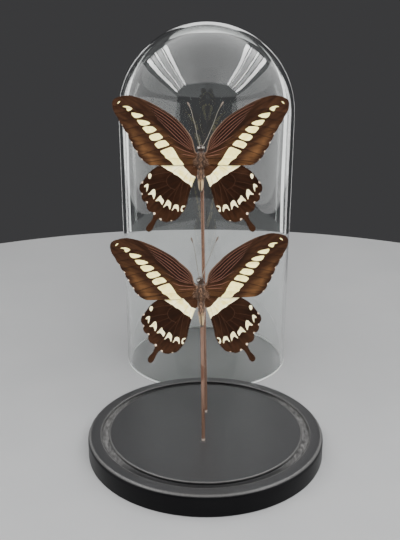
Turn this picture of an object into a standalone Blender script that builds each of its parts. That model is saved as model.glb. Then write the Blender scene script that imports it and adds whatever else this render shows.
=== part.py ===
"""Two spread swallowtail butterflies on copper rods over a turned wooden base, with the glass
dome lifted off and standing on the table behind the base.

Metres, +Z up. The origin is the centre of the base's foot, the butterflies' backs face -Y, and
the dome stands towards +Y. Sizes below are written in millimetres and multiplied by MM.
"""
import math

import bmesh
import bpy
from mathutils import Matrix, Vector

MM = 0.001
GAP = 0.3                    # clearance that touching pieces keep

# Turned base, of radius 75
BASE_R = 75.0
BASE_H = 13.5
GROOVE_IN = 61.5             # the raised disc's radius
GROOVE_OUT = 66.5
GROOVE_DEPTH = 2.0
GROOVE_ROUND = 0.6
EDGE_ROUND = 1.8
BASE_STEPS = 80

# Glass dome, standing behind the base
DOME_AT = (1.5, 143.3)
DOME_H = 264.8
DOME_RIM_R = 64.8            # it widens a little from its ground rim to its shoulder
DOME_SHOULDER_R = 66.2
DOME_WALL = 2.6
DOME_RIM_CHAMFER = 0.5
DOME_STEPS = 64
DOME_ARC_STEPS = 10

# Copper-coated rods
ROD_R = 1.2
ROD_SOCKET_FLOOR = 4.5
ROD_SIDES = 12

# Butterflies, sizes in their own flat frame: u out from the body's axis, v towards the head,
# w out of the back, towards -Y
WING_THICKNESS = 0.6
WING_SLICE = 9.0             # spacing of the lines that let a wing plate bend
HINDWING_W = 0.0
FOREWING_W = HINDWING_W + WING_THICKNESS + GAP
BODY_W = -0.8
BODY_BACK = 3.1              # the body's half depth
BODY_SIDES = 12
ANTENNA_R = 0.35
ANTENNA_CLUB_R = 0.6

# The lower specimen is shorter in the forewing. Each wing's fit is: stretch along u and v, lean
# (u gained per v), lift (v gained per u), shift of all but the root, and sway, which turns both
# wings of a pair the same way round.
AS_DRAWN = {"stretch": (1.0, 1.0), "lean": 0.0, "lift": 0.0, "shift": (0.0, 0.0), "sway": 0.0}
UPPER = {
    "name": "upper", "at": (-3.0, 14.3, 184.0), "turn": 0.0, "abdomen_end": -19.5,
    "forewing": AS_DRAWN, "hindwing": AS_DRAWN,
    "antennae": {-1: (3.2, 19.5, 7.8, 33.7), 1: (6.3, 19.5, 13.1, 34.0)},
}
LOWER = {
    "name": "lower", "at": (-3.0, -21.7, 113.5), "turn": math.radians(1.8), "abdomen_end": -22.0,
    "forewing": {"stretch": (0.99, 0.92), "lean": -0.066, "lift": 0.017, "shift": (1.1, -1.5),
                 "sway": math.radians(0.2)},
    "hindwing": {"stretch": (0.95, 1.01), "lean": -0.01, "lift": 0.04, "shift": (-0.4, -1.0),
                 "sway": math.radians(-1.2)},
    "antennae": {-1: (1.8, 20.0, 4.4, 33.2), 1: (5.0, 20.0, 10.8, 33.2)},
}
SHIFT_FADE = 8.0             # distance from the root over which a wing's shift grows to its full value
ROD_FEET = {"lower": (-1.4, -15.7), "upper": (0.4, 20.9)}

FOREWING = [
    (3.3, -2.2), (3.3, 4.7), (5.0, 12.0), (7.6, 16.6), (12.0, 22.0), (17.0, 26.3), (25.0, 31.3),
    (32.0, 34.8), (38.0, 36.8), (43.0, 37.4), (48.0, 36.3), (51.0, 33.8), (50.6, 29.5),
    (48.2, 24.4), (43.5, 16.6), (41.5, 12.0), (38.2, 6.0), (34.7, 0.4), (31.6, -2.1),
    (28.2, -2.9),
]
HINDWING = [
    (3.3, -9.6), (3.3, 0.5), (8.0, 3.0), (16.0, 2.0), (25.0, -3.4), (32.9, -9.3), (35.0, -12.0),
    (36.6, -16.6), (35.5, -20.3), (35.2, -23.4), (32.6, -25.3), (31.7, -29.0), (28.7, -32.3),
    (29.7, -36.5), (33.0, -41.0), (33.0, -43.2), (31.9, -44.1), (30.0, -42.9), (28.2, -39.3),
    (25.4, -35.9), (21.0, -37.9), (18.0, -37.1), (15.0, -36.3), (11.8, -32.8), (8.8, -27.8),
    (7.6, -22.4), (5.5, -15.5),
]
# Along the body: v, half width, share of the full half depth
HEAD_AND_THORAX = [
    (8.7, 0.9, 0.25), (8.1, 1.9, 0.5), (7.1, 2.3, 0.62), (5.9, 2.0, 0.6), (5.2, 1.7, 0.6),
    (4.2, 2.4, 0.85), (2.2, 2.9, 1.0), (-0.8, 2.9, 1.0), (-3.2, 2.4, 0.85),
]
# Along the abdomen: share of its length, half width, share of the full half depth
ABDOMEN_START = -4.8
ABDOMEN = [(0.0, 1.8, 0.6), (0.25, 2.2, 0.72), (0.6, 2.1, 0.68), (0.85, 1.5, 0.5), (1.0, 0.5, 0.2)]


def clear_scene():
    for thing in list(bpy.data.objects):
        bpy.data.objects.remove(thing, do_unlink=True)


def material(name, colour, roughness, metallic=0.0, transmission=0.0):
    made = bpy.data.materials.new(name)
    made.use_nodes = True
    shader = made.node_tree.nodes["Principled BSDF"]
    shader.inputs["Base Color"].default_value = (*colour, 1.0)
    shader.inputs["Roughness"].default_value = roughness
    shader.inputs["Metallic"].default_value = metallic
    shader.inputs["Transmission Weight"].default_value = transmission
    return made


def make_materials():
    return {
        "wood": material("black_wood", (0.012, 0.012, 0.012), 0.45),
        "glass": material("clear_glass", (0.95, 0.97, 0.96), 0.02, transmission=1.0),
        "copper": material("copper_wire", (0.52, 0.27, 0.2), 0.35, metallic=1.0),
        "forewing": material("forewing_scales", (0.055, 0.02, 0.009), 0.75),
        "hindwing": material("hindwing_scales", (0.03, 0.009, 0.004), 0.75),
        "body": material("body_hair", (0.12, 0.08, 0.045), 0.85),
        "antenna": material("antenna_shell", (0.11, 0.075, 0.05), 0.5),
    }


def add_object(name, bm, finish, smooth_angle=35.0):
    """Links a closed bmesh as an object, faces outward, shaded smooth between its sharp edges."""
    bmesh.ops.recalc_face_normals(bm, faces=bm.faces)
    mesh = bpy.data.meshes.new(name)
    bm.to_mesh(mesh)
    bm.free()
    mesh.shade_smooth()
    mesh.set_sharp_from_angle(angle=math.radians(smooth_angle))
    mesh.materials.append(finish)
    made = bpy.data.objects.new(name, mesh)
    bpy.context.scene.collection.objects.link(made)
    return made


def turned(name, profile, steps, finish, at=(0.0, 0.0)):
    """Spins a profile of (radius, height), both in mm, about a vertical axis."""
    bm = bmesh.new()
    points = [bm.verts.new((radius * MM, 0.0, height * MM)) for radius, height in profile]
    edges = [bm.edges.new(pair) for pair in zip(points, points[1:])]
    bmesh.ops.spin(bm, geom=points + edges, cent=(0, 0, 0), axis=(0, 0, 1),
                   angle=2 * math.pi, steps=steps, use_merge=True)
    bmesh.ops.remove_doubles(bm, verts=bm.verts, dist=1e-6)
    made = add_object(name, bm, finish)
    made.location = (at[0] * MM, at[1] * MM, 0.0)
    return made


def quarter_arc(centre, radius_x, radius_z, first, last, steps):
    """Points on an ellipse's arc, at angles counted from +X towards +Z."""
    angles = [first + (last - first) * step / steps for step in range(steps + 1)]
    return [(centre[0] + radius_x * math.cos(angle), centre[1] + radius_z * math.sin(angle))
            for angle in angles]


def cut_socket(base, at):
    """Drills the blind hole that a rod's foot stands in."""
    depth = (BASE_H - ROD_SOCKET_FLOOR) * MM
    bm = bmesh.new()
    radius = (ROD_R + GAP) * MM
    bmesh.ops.create_cone(bm, cap_ends=True, segments=16, radius1=radius, radius2=radius,
                          depth=2 * depth)
    mesh = bpy.data.meshes.new("socket_drill")
    bm.to_mesh(mesh)
    bm.free()
    drill = bpy.data.objects.new("socket_drill", mesh)
    drill.location = (at[0] * MM, at[1] * MM, ROD_SOCKET_FLOOR * MM + depth)
    drill.hide_render = True
    drill.display_type = "WIRE"
    bpy.context.scene.collection.objects.link(drill)
    cut = base.modifiers.new("socket", "BOOLEAN")
    cut.operation = "DIFFERENCE"
    cut.solver = "EXACT"
    cut.object = drill


def make_base(finish):
    groove_floor = BASE_H - GROOVE_DEPTH
    edge = quarter_arc((BASE_R - EDGE_ROUND, BASE_H - EDGE_ROUND), EDGE_ROUND, EDGE_ROUND,
                       math.pi / 2, 0.0, 3)
    disc_edge = quarter_arc((GROOVE_IN - GROOVE_ROUND, BASE_H - GROOVE_ROUND), GROOVE_ROUND,
                            GROOVE_ROUND, math.pi / 2, 0.0, 1)
    rim_edge = quarter_arc((GROOVE_OUT + GROOVE_ROUND, BASE_H - GROOVE_ROUND), GROOVE_ROUND,
                           GROOVE_ROUND, math.pi, math.pi / 2, 1)
    profile = [(0.0, BASE_H), *disc_edge, (GROOVE_IN, groove_floor),
               (GROOVE_OUT, groove_floor), *rim_edge, *edge,
               (BASE_R, 0.5), (BASE_R - 0.5, 0.0), (0.0, 0.0)]
    base = turned("base", profile, BASE_STEPS, finish)
    for foot in ROD_FEET.values():
        cut_socket(base, foot)
    return base


def make_dome(finish):
    """A bell with a ground rim, a wall that widens slightly and a round top."""
    shoulder = DOME_H - DOME_SHOULDER_R
    inner_rim = DOME_RIM_R - DOME_WALL
    inner_shoulder = DOME_SHOULDER_R - DOME_WALL
    outside = quarter_arc((0.0, shoulder), DOME_SHOULDER_R, DOME_SHOULDER_R,
                          math.pi / 2, 0.0, DOME_ARC_STEPS)
    inside = quarter_arc((0.0, shoulder), inner_shoulder, inner_shoulder,
                         0.0, math.pi / 2, DOME_ARC_STEPS)
    rim = [(DOME_RIM_R, DOME_RIM_CHAMFER), (DOME_RIM_R - DOME_RIM_CHAMFER, 0.0),
           (inner_rim + DOME_RIM_CHAMFER, 0.0), (inner_rim, DOME_RIM_CHAMFER)]
    outside[0] = (0.0, DOME_H)
    inside[-1] = (0.0, DOME_H - DOME_WALL)
    return turned("glass_dome", outside + rim + inside, DOME_STEPS, finish, DOME_AT)


def make_rod(name, butterfly, finish):
    """A straight wire from its socket to the back of the thorax, plumb inside the socket."""
    foot_x, foot_y = ROD_FEET[butterfly["name"]]
    body_x, wing_y, body_z = butterfly["at"]
    top_y = wing_y - BODY_W + BODY_BACK + GAP + ROD_R
    points = [(foot_x, foot_y, ROD_SOCKET_FLOOR + GAP), (foot_x, foot_y, BASE_H),
              (body_x + 0.5, top_y, body_z)]
    curve = bpy.data.curves.new(name, "CURVE")
    curve.dimensions = "3D"
    curve.bevel_depth = ROD_R * MM
    curve.bevel_resolution = ROD_SIDES // 4 - 1
    curve.use_fill_caps = True
    spline = curve.splines.new("POLY")
    spline.points.add(len(points) - 1)
    for target, point in zip(spline.points, points):
        target.co = (*[value * MM for value in point], 1.0)
    curve.materials.append(finish)
    made = bpy.data.objects.new(name, curve)
    bpy.context.scene.collection.objects.link(made)
    return made


def camber(u, v):
    """How far a wing's surface stands out of its flat plane: raised outwards, drooping at the tail."""
    return 1.5 * math.sin(0.032 * u) - 0.0006 * (v - 10.0) ** 2


def place_on_back(made, butterfly):
    """Maps a butterfly's (u, v, w) to the world: u along +X, v along +Z, w along -Y, then its turn."""
    flat_to_upright = Matrix(((1, 0, 0), (0, 0, -1), (0, 1, 0))).to_4x4()
    turn = Matrix.Rotation(-butterfly["turn"], 4, "Y")
    made.matrix_world = Matrix.Translation(Vector(butterfly["at"]) * MM) @ turn @ flat_to_upright


def fitted(point, root, fit, side):
    """Where a point of the drawn wing lies on this specimen, on the +u side."""
    out, along = point[0] - root[0], point[1] - root[1]
    share = min(1.0, max(0.0, out / SHIFT_FADE))
    u = out * fit["stretch"][0] + along * fit["lean"] + share * fit["shift"][0]
    v = along * fit["stretch"][1] + out * fit["lift"] + share * fit["shift"][1]
    sway = side * fit["sway"]
    u, v = u * math.cos(sway) - v * math.sin(sway), u * math.sin(sway) + v * math.cos(sway)
    return max(root[0] + u, root[0]), root[1] + v


def make_wing(name, outline, side, height, butterfly, fit, finish):
    """A thin plate with the wing's outline, sliced so that it can follow the camber. Its back lies
    at the given height and its belly side a thickness lower."""
    root = outline[1]
    bm = bmesh.new()
    bm.faces.new([bm.verts.new((*fitted(point, root, fit, side), 0.0)) for point in outline])
    for axis in range(2):
        normal = Vector((1 - axis, axis, 0))
        for step in range(-6, 7):
            bmesh.ops.bisect_plane(bm, geom=bm.verts[:] + bm.edges[:] + bm.faces[:], dist=1e-5,
                                   plane_co=normal * (step * WING_SLICE + 2.0), plane_no=normal)
    bmesh.ops.triangulate(bm, faces=bm.faces)
    for vert in bm.verts:
        u, v, _ = vert.co
        vert.co = Vector((side * u, v, height + camber(u, v))) * MM
    bm.normal_update()
    facing_belly = [face for face in bm.faces if face.normal.z < 0]
    bmesh.ops.reverse_faces(bm, faces=facing_belly)
    bmesh.ops.solidify(bm, geom=bm.faces, thickness=WING_THICKNESS * MM)
    made = add_object(name, bm, finish, smooth_angle=50.0)
    place_on_back(made, butterfly)
    return made


def make_body(butterfly, finish):
    """Head, thorax and abdomen as one run of elliptical rings."""
    end = butterfly["abdomen_end"]
    rings = HEAD_AND_THORAX + [
        (ABDOMEN_START + share * (end - ABDOMEN_START), width, depth)
        for share, width, depth in ABDOMEN
    ]
    bm = bmesh.new()
    loops = []
    for v, half_width, depth_share in rings:
        loop = []
        for side in range(BODY_SIDES):
            angle = 2 * math.pi * side / BODY_SIDES
            u = half_width * math.cos(angle)
            w = BODY_W + BODY_BACK * depth_share * math.sin(angle)
            loop.append(bm.verts.new(Vector((u, v, w)) * MM))
        loops.append(loop)
    for upper, lower in zip(loops, loops[1:]):
        for side in range(BODY_SIDES):
            after = (side + 1) % BODY_SIDES
            bm.faces.new((upper[side], upper[after], lower[after], lower[side]))
    bm.faces.new(loops[0])
    bm.faces.new(reversed(loops[-1]))
    made = add_object(f"{butterfly['name']}_body", bm, finish)
    place_on_back(made, butterfly)
    return made


def make_antenna(name, side, reach, butterfly, finish):
    """A thin bowed feeler that ends in a club."""
    middle_u, middle_v, tip_u, tip_v = reach
    root = Vector((side * 0.9, HEAD_AND_THORAX[0][0] + GAP + ANTENNA_R, 0.0))
    middle = Vector((side * middle_u, middle_v, 1.0))
    tip = Vector((side * tip_u, tip_v, 1.5))
    control = 2 * middle - (root + tip) / 2
    curve = bpy.data.curves.new(name, "CURVE")
    curve.dimensions = "3D"
    curve.bevel_depth = ANTENNA_R * MM
    curve.bevel_resolution = 1
    curve.use_fill_caps = True
    steps = 8
    spline = curve.splines.new("POLY")
    spline.points.add(steps)
    for step, point in enumerate(spline.points):
        t = step / steps
        place = (1 - t) ** 2 * root + 2 * t * (1 - t) * control + t ** 2 * tip
        point.co = (*(place * MM), 1.0)
        point.radius = ANTENNA_CLUB_R / ANTENNA_R if step >= steps - 1 else 1.0
    curve.materials.append(finish)
    made = bpy.data.objects.new(name, curve)
    bpy.context.scene.collection.objects.link(made)
    place_on_back(made, butterfly)
    return made


def make_butterfly(butterfly, finishes):
    label = butterfly["name"]
    make_body(butterfly, finishes["body"])
    for side, word in ((-1, "left"), (1, "right")):
        make_wing(f"{label}_hindwing_{word}", HINDWING, side, HINDWING_W, butterfly,
                  butterfly["hindwing"], finishes["hindwing"])
        make_wing(f"{label}_forewing_{word}", FOREWING, side, FOREWING_W, butterfly,
                  butterfly["forewing"], finishes["forewing"])
        make_antenna(f"{label}_antenna_{word}", side, butterfly["antennae"][side], butterfly,
                     finishes["antenna"])


def main():
    clear_scene()
    finishes = make_materials()
    make_base(finishes["wood"])
    make_dome(finishes["glass"])
    for butterfly in (LOWER, UPPER):
        make_rod(f"rod_{butterfly['name']}", butterfly, finishes["copper"])
        make_butterfly(butterfly, finishes)
    bpy.context.view_layer.update()


main()
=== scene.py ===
import math

import bpy
import numpy as np
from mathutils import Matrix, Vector
from mathutils.geometry import delaunay_2d_cdt


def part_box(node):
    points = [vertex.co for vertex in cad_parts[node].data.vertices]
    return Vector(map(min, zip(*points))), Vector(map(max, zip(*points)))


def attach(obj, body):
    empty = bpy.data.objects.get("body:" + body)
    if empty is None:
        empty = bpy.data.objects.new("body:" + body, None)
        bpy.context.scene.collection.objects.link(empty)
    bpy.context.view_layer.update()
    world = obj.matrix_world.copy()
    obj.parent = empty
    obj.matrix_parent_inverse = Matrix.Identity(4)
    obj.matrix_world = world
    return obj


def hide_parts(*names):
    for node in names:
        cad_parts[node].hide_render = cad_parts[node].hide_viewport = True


# Two spread swallowtail butterflies on copper rods over a black turned base, with the glass dome
# standing behind it. Lengths are in millimetres until a mesh is made, and places come from the
# frame. An insect's own flat frame is u out from the body's axis, v towards the head and w out
# of the back, which faces -Y.

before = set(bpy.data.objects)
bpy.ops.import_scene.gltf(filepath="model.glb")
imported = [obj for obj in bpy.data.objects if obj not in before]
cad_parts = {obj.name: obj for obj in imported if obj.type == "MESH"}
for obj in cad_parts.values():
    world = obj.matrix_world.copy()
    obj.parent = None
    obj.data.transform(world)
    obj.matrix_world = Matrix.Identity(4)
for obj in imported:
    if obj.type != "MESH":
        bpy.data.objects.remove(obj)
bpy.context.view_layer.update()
MM = 0.001

# Camera
CAMERA_AT = (-0.003484, -0.416717, 0.251517)
CAMERA_DOWN = math.radians(17.517)
CAMERA_LENS = 48.42
CAMERA_SENSOR = 36.0

# Base
GROOVE_IN = 61.6
GROOVE_OUT = 66.4
GROOVE_DEPTH = 2.0
GROOVE_FILLET = 0.35
DISC_ROUND = 1.0
GROOVE_WALL_ROUND = 0.9
EDGE_ROUND = 2.8
FOOT_ROUND = 0.7
SOCKET_R = 1.4
SOCKET_DEPTH = 9.0
ROUND_STEPS = 256  # segments round the base and the dome

# Dome
DOME_WALL = 2.6
DOME_RIM_NARROWING = 1.4  # how much less the rim's radius is than the shoulder's
DOME_RIM_CHAMFER = 0.5
DOME_GROUND = 1.1  # height of the ground band around the rim

# Rods
ROD_R = 1.1
ROD_FEET = {"lower": (-1.4, -15.7), "upper": (0.4, 20.9)}
ROD_TOP_U = 0.5
ROD_SOCKET_FLOOR = 4.5
ROD_BEND = 2.0  # radius of the bend at the top

# Butterflies, as in the CAD
SIDES = ((-1, "left"), (1, "right"))
HEAD_TOP = 8.7
BODY_W = -0.8  # w of the body's axis
BODY_BACK = 3.1  # half the body's full depth
HINDWING_W = -0.3
FOREWING_W = 0.6
SHIFT_FADE = 8.0  # how far out from its root a wing gets its full shift
AS_DRAWN = {"stretch": (1, 1), "lean": 0, "lift": 0, "shift": (0, 0), "sway": 0}
UPPER = {
    "name": "upper", "turn": 0, "abdomen_end": -19.5, "seed": 3, "tuft_tones": {-1: 1.3, 1: 1.3},
    "forewing": AS_DRAWN, "hindwing": AS_DRAWN,
    "antennae": {
        -1: [(0.8, 8.2), (0.9, 10), (2.2, 14.4), (3.1, 19.8), (4.5, 24.5), (5.7, 29.3), (7.8, 33.7)],
        1: [(0.8, 8), (1.5, 8.9), (3.6, 12.7), (5.9, 18), (7.6, 22.1), (10.2, 29), (13.1, 34)],
    },
}
LOWER = {
    "name": "lower", "turn": math.radians(1.8), "abdomen_end": -22, "seed": 8,
    "tuft_tones": {-1: 1.3, 1: 0.35},
    "forewing": {"stretch": (0.99, 0.92), "lean": -0.066, "lift": 0.017, "shift": (1.1, -1.5),
                 "sway": math.radians(0.2)},
    "hindwing": {"stretch": (0.95, 1.01), "lean": -0.01, "lift": 0.04, "shift": (-0.4, -1),
                 "sway": math.radians(-1.2)},
    "antennae": {
        -1: [(0.7, 8.2), (0.9, 10), (1.5, 15), (2.2, 21.5), (2.9, 27), (4.4, 33.2)],
        1: [(0.7, 8.2), (1.2, 10), (2.9, 14.8), (5.4, 20.6), (7.5, 26), (10.8, 33.2)],
    },
}

FOREWING_ROOT = (3.3, 4.7)
HINDWING_ROOT = (3.3, 0.5)

# Wing drawing, on the +u side. An edge is a list of stretches, each a smooth line between corners.
FOREWING_EDGE = [
    [(1.6, -2.4), (1.6, 3.6)],
    [(1.6, 3.6), (3.3, 5.4), (5, 12), (7.6, 16.6), (12, 22), (17, 26.3), (25, 31.3), (32, 34.8),
     (38, 36.8), (43, 37.4), (48, 36.3), (50.3, 34.9), (51.1, 32.8), (50.6, 29.5),
     (49.6, 27.2), (48.2, 25), (47.3, 22.8), (45.7, 20.6), (44.6, 18), (42.8, 15.7), (42, 13),
     (40.5, 10.6), (39.6, 8), (37.6, 5.3), (36.6, 2.8), (34.6, 0.5), (32.9, -1.2)],
    [(32.9, -1.2), (31, -2.4), (28.2, -2.9), (16, -2.9), (1.6, -2.4)],
]
HINDWING_EDGE = [
    [(2.1, -8.6), (1.6, 0.5)],
    [(1.6, 0.5), (3.5, 1.3), (8, 3), (16, 2), (25, -3.4), (30.5, -7.3), (34.8, -12.9)],
    [(34.8, -12.9), (36.4, -15), (36.7, -17.8), (35.2, -20.3)],
    [(35.2, -20.3), (35.6, -22.4), (34.6, -24.6), (32.2, -25.5)],
    [(32.2, -25.5), (32.7, -27.8), (31.6, -30.6), (28.6, -32.2)],
    [(28.6, -32.2), (28.8, -34.4), (30.2, -37.5), (32.2, -39.8), (33.3, -41.8), (33, -43.4),
     (31.9, -44.1), (30.4, -43.4), (29.2, -41.3), (28.1, -38.9), (26.9, -37), (25.3, -35.7)],
    [(25.3, -35.7), (23.6, -37.3), (20.8, -38), (17.9, -37.1)],
    [(17.9, -37.1), (16.4, -37.1), (14.6, -36.1), (11.8, -32.8), (8.8, -27.8), (7.6, -22.4),
     (5.5, -15.5), (3.4, -10.2), (2.1, -8.6)],
]
FOREWING_VEINS = [
    [(3.5, 4.6), (8, 7.2), (13, 10.5), (17, 14), (21, 17.6), (24.5, 21.2)],
    [(13, 10.5), (24, 7.2), (36.5, 2.8)],
    [(17, 14), (27, 11.6), (39.5, 8)],
    [(21, 17.6), (31, 15.9), (41.9, 13)],
    [(24.5, 21.2), (34, 20.4), (44.5, 18)],
    [(26.5, 25.7), (36.5, 24.8), (47.2, 22.8)],
    [(3.6, 5.4), (7.2, 11), (12, 16), (20, 23.3), (26, 27)],
    [(26, 27), (26.9, 26.2), (26.5, 25.7), (25.1, 23.6), (24.5, 21.2)],
    [(35, 29.5), (40.5, 28.8), (49.7, 27.3)],
    [(26, 27), (35, 29.5), (43, 30.6), (46.3, 31.6), (50.7, 31.4)],
    [(26, 27), (35, 32.4), (43.5, 36.9)],
    [(20, 23.5), (28, 29.6), (37, 36.1)],
    [(14, 18), (22, 26.2), (31, 33.9)],
    [(3.6, 6), (6.2, 12.2), (10, 17.8), (16, 23.8), (24, 30.4)],
    [(3.5, 1), (14, 1.2), (25, 0), (32.7, -1.2)],
]
HINDWING_VEINS = [
    [(3.5, -1.6), (9, -2.8), (14, -5), (20, -10.5), (20.5, -13.5)],
    [(3.5, -3), (9, -9.5), (13.5, -15.5), (15.5, -18)],
    [(20.5, -13.5), (19, -16), (15.5, -18)],
    [(3.5, -0.5), (10, 0.4), (17, 0.4), (25.6, -3.9)],
    [(17, -7.2), (26, -8.2), (33.3, -10.8)],
    [(20.5, -12.5), (28, -14), (36.5, -16.9)],
    [(20, -15), (28, -18.5), (35.1, -23.2)],
    [(18, -17), (25, -22.5), (32, -29.4)],
    [(15.5, -18), (21, -24.5), (26, -32.5), (29.2, -38.6), (31.5, -42.8)],
    [(12.5, -14.3), (15.4, -20.5), (17.8, -28), (21, -37.7)],
    [(9.5, -10.5), (11.6, -17), (12.9, -25), (15, -35.9)],
    [(5, -6), (6.8, -13), (8.6, -20), (11.2, -31.4)],
]
# Pale rays in the forewing's cell, spread between two outer ones
LOWEST_RAY = [(4.8, 5.9), (10.4, 9.9), (16.2, 15.2), (20.4, 19.4), (25.6, 24.6)]
HIGHEST_RAY = [(4.3, 8.2), (8.4, 15.4), (14.2, 21.9), (22, 27.9), (31, 32.6)]
RAY_COUNT = 5
ROOT_RAYS = [
    [(3.4, 4.6), (8.5, 7.6), (14, 11.2), (19, 14.6)],
    [(3.4, 3.4), (8.5, 5.2), (12.5, 6.8), (15.6, 8.4)],
    [(3.4, 2.2), (7.5, 2.9), (11.6, 3.7)],
]
RAY_R = 0.13

# Cream markings, each a smooth closed loop
FOREWING_SPOTS = [
    [(46.2, 34.1), (47, 34.6), (47.9, 34), (48.7, 32.8), (48, 32.4), (47, 33.1)],
    [(39.4, 30), (40.6, 31.2), (43.1, 31.9), (45.6, 31.6), (45.4, 30.8), (43.6, 30.4),
     (43.1, 29.1), (42.2, 28.3), (40.5, 28.9)],
    [(32.9, 26.1), (35.3, 27.3), (38.2, 27.9), (40.4, 28), (40.1, 26.1), (38.5, 24.6),
     (36.2, 24.5), (34.4, 25.1)],
    [(29.2, 21.7), (31.2, 23.1), (34.6, 23.9), (37.3, 23.7), (37, 22.4), (35.5, 20.6),
     (32.9, 20), (30.6, 20.6)],
    [(25.7, 17.8), (27, 19.4), (28.8, 20.2), (32.6, 20.1), (34.2, 19), (33.2, 17.3),
     (31.4, 15.8), (28.4, 16)],
    [(21.9, 13.5), (23, 14.8), (24.7, 16.2), (29, 15.4), (30.6, 14), (29.7, 12.3),
     (27.7, 11.2), (24.2, 11.9)],
    [(18.3, 9.2), (19.3, 10.6), (21.2, 12.1), (24.9, 11.5), (27.3, 9.7), (26.6, 8.1),
     (24.9, 6.8), (21.8, 7.6), (19.3, 8.4)],
    [(17.2, 8.1), (19.8, 7.5), (24, 5.7), (23.3, 4.1), (21.7, 2.6), (21.1, 1.3), (19.5, 0.3),
     (17.9, -1), (17, -2.2), (15.3, -3.4), (9.8, -3.4), (10.6, -1.2), (12.3, 0.8), (13.8, 3.4),
     (15.3, 6)],
]
HINDWING_SPOTS = [
    [(2, -10.6), (5.5, -8.8), (7.5, -6.5), (9.1, -4.9), (12, -1.9), (19, 0), (25.5, -1.4),
     (23.1, -3.9), (21, -5.3), (19.1, -6.5), (17.1, -7.5), (15.8, -8.8), (13.8, -9.7),
     (11.8, -11.3), (10.2, -12.9), (8.2, -14.1), (6.8, -15), (5.6, -17), (4.6, -16.4),
     (3.4, -13.3)],
    [(29.2, -9.1), (29.9, -7.9), (31.2, -8.2), (31.6, -10), (30.7, -11.5), (29.8, -10.6)],
    [(31.2, -14.4), (32.5, -14.1), (34.2, -15.6), (33.8, -16.5), (32.9, -16.3), (32.8, -17.7),
     (32.8, -19.6), (31.9, -18.2), (31.4, -16.4)],
    [(27.5, -17.6), (28.9, -17.5), (30.3, -19), (32, -20.5), (31.3, -21.1), (29.7, -20.9),
     (29.1, -22.2), (28.6, -24), (27.6, -22.5), (27.1, -20.4)],
    [(23.9, -21.2), (24.8, -21.4), (26.1, -22.8), (27.7, -24.6), (27.2, -25.1), (25.4, -24.9),
     (24.2, -26.2), (23.4, -27.4), (22.6, -26.2), (22.1, -24.6), (23.4, -22.7)],
    [(19.5, -24.1), (20.6, -24.5), (21.8, -26.6), (22.9, -28.5), (22.4, -29), (20.7, -27.8),
     (19.7, -28.3), (19.1, -30.2), (18.6, -30.5), (18.1, -28.6), (17.9, -26.1)],
    [(13.6, -27.4), (15.3, -26.9), (16.4, -27.5), (17.1, -29.2), (17.9, -30.7), (17.1, -30.9),
     (16, -29.7), (14.7, -30), (14.2, -31.6), (13.4, -31.6), (13.1, -29.7)],
    [(9.2, -27.8), (11.3, -27.8), (12.3, -29.7), (12.1, -31.6), (11.1, -31.8), (10.4, -30.7),
     (11.2, -30), (11, -29.2), (9.8, -28.7)],
]
# White fringe in the notches of the margin: place and half length
FOREWING_FRINGE = [
    ((48.9, 25.6), 0.2), ((46, 20.6), 0.35), ((43, 15.6), 0.5), ((40.8, 10.5), 0.6),
    ((37.9, 5.2), 0.6), ((35, 0.5), 0.5),
]
HINDWING_FRINGE = [
    ((35.3, -13.2), 0.7), ((35.6, -20.4), 0.6), ((32.6, -25.6), 0.6), ((28.3, -32.6), 0.75),
    ((24.7, -36.4), 0.75), ((17.9, -37.4), 0.5),
]
WING_STEP = 0.34  # spacing of the wing sheets' vertices
WING_HALF = 0.07  # half a wing's thickness
EDGE_BLADES = 2  # fringe scales for each vertex of the margin
EDGE_BLADE_LENGTH = 0.5
VEIN_SIDES = 6
FAN_START = (6, 4)  # how far in and below a wing's root its streaks start

# Along the body: v, half width, share of the full half depth
HEAD_AND_THORAX = [
    (8.6, 0.5, 0.2), (8.1, 1.5, 0.45), (7.1, 1.9, 0.6), (6.1, 1.8, 0.6), (5.4, 1.4, 0.55),
    (4.6, 2, 0.8), (3.4, 2.55, 0.95), (1.8, 2.8, 1), (-0.8, 2.75, 1), (-3.2, 2.2, 0.85),
    (-4.4, 1.6, 0.6),
]
ABDOMEN_START = -4.8
ABDOMEN = [(0, 1.7, 0.58), (0.12, 1.95, 0.68), (0.3, 2, 0.72), (0.6, 1.8, 0.68),
           (0.82, 1.4, 0.52), (0.95, 0.8, 0.3), (1, 0.25, 0.12)]
ABDOMEN_SEGMENTS = 8
BODY_SIDES = 32
HAIR, SHELL, EYE = 0, 1, 2  # places in the list of a body's looks
# Coats of hair: count, lowest and highest v, length, how far combed towards the head, paleness
COATS = [(2800, -4.6, 4.8, 1.4, -0.75, 0.25), (700, 5, 8.4, 0.7, 0.35, 0)]
# Bunches of hair at each side: centre, spread, direction, scatter, shortest and longest, width, count
HEAD_TUFT = ((1, 7.3, 0.75), (0.42, 0.3, 0.12), (0.3, 0.5, 0.9), 0.3, (0.35, 0.7), 0.14, 110)
SIDE_TUFT = ((2.7, -0.6, 1), (0.5, 1.1, 0.12), (1, -0.5, 0.12), 0.2, (1, 2.4), 0.1, 220)
EYE_AT = (1.55, 6.75, -0.45)
EYE_RADII = (0.85, 1.05, 1.25)
PALP = [(0.45, 6.9, -2.3), (0.5, 7.9, -2.1), (0.45, 9, -1.3)]
LEGS = [(3, 4.4, -2.4), (0.9, 0.4, -6), (-1.4, -3.2, -10.2)]  # v of hip, knee and foot
LEG_OUT = np.array((1.3, 2.9, 3.4, 2.9, 2.2))  # u at the hip, shank, knee, shin and foot
LEG_W = (-3, -3.7, -3.9, -3.8, -3.6)
TONGUE_AT = (6.6, -3)  # v and w of the coil's middle
TONGUE_TURNS = 2.6
FEELER_RING = 0.42  # length of one ring of a feeler

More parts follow.
